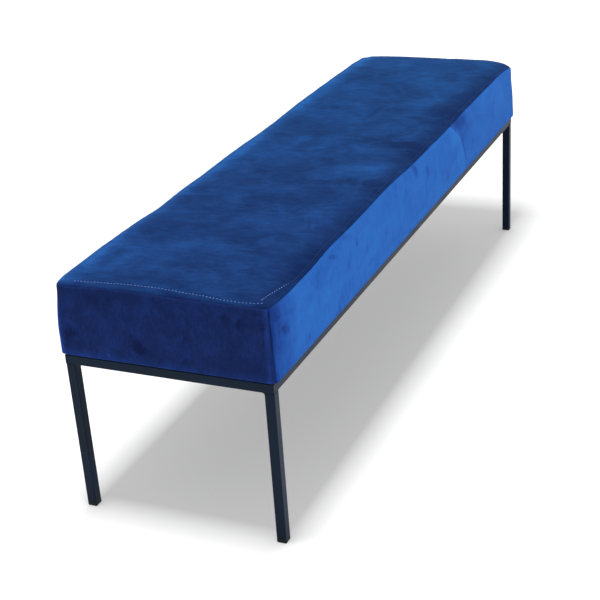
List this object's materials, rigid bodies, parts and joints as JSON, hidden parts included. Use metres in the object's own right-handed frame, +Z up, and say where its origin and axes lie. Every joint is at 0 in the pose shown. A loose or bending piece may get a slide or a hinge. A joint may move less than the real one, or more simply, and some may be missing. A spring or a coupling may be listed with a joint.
{
  "type": "upholstered bench",
  "caption": "Long backless bench with a thick box seat in blue velvet on a slim black welded square-tube frame with straight corner legs.",
  "frame": {"origin": "on the floor, under the middle of the bench", "axes": "+X along the bench towards its right-hand end, +Y across it towards its rear long side, +Z up"},
  "size_m": [1.502, 0.402, 0.4506],
  "materials": {
    "powder_coat": "satin black powder coat with a faint fine texture",
    "glide_plastic": "matte black moulded plastic",
    "zinc_hardware": "bright zinc plate",
    "plywood": "unfinished birch-faced plywood",
    "foam": "open-cell upholstery foam",
    "wadding": "white polyester wadding",
    "velvet": "short-pile royal-blue velvet whose nap shades from navy to bright blue",
    "thread": "lighter blue polyester sewing thread",
    "dust_cloth": "black non-woven dust cover cloth"
  },
  "bodies": {
    "root": {"front_rail": "powder_coat", "rear_rail": "powder_coat", "left_end_rail": "powder_coat", "right_end_rail": "powder_coat", "centre_cross_rail": "powder_coat", "leg_front_left": "powder_coat", "leg_front_right": "powder_coat", "leg_rear_left": "powder_coat", "leg_rear_right": "powder_coat", "foot_glide_front_left": "glide_plastic", "foot_glide_front_right": "glide_plastic", "foot_glide_rear_left": "glide_plastic", "foot_glide_rear_right": "glide_plastic", "seat_mounting_tabs": "powder_coat", "weld_beads": "powder_coat", "seat_bolts": "zinc_hardware", "bolt_washers": "zinc_hardware", "tee_nuts": "zinc_hardware", "seat_board": "plywood", "foam_core": "foam", "wadding_layer": "wadding", "cover_top_panel": "velvet", "cover_front_band": "velvet", "cover_rear_band": "velvet", "cover_left_end_band": "velvet", "cover_right_end_band": "velvet", "topstitching": "thread", "cover_staples": "zinc_hardware", "dust_cover": "dust_cloth", "dust_cover_staples": "zinc_hardware"}
  },
  "joints": []
}
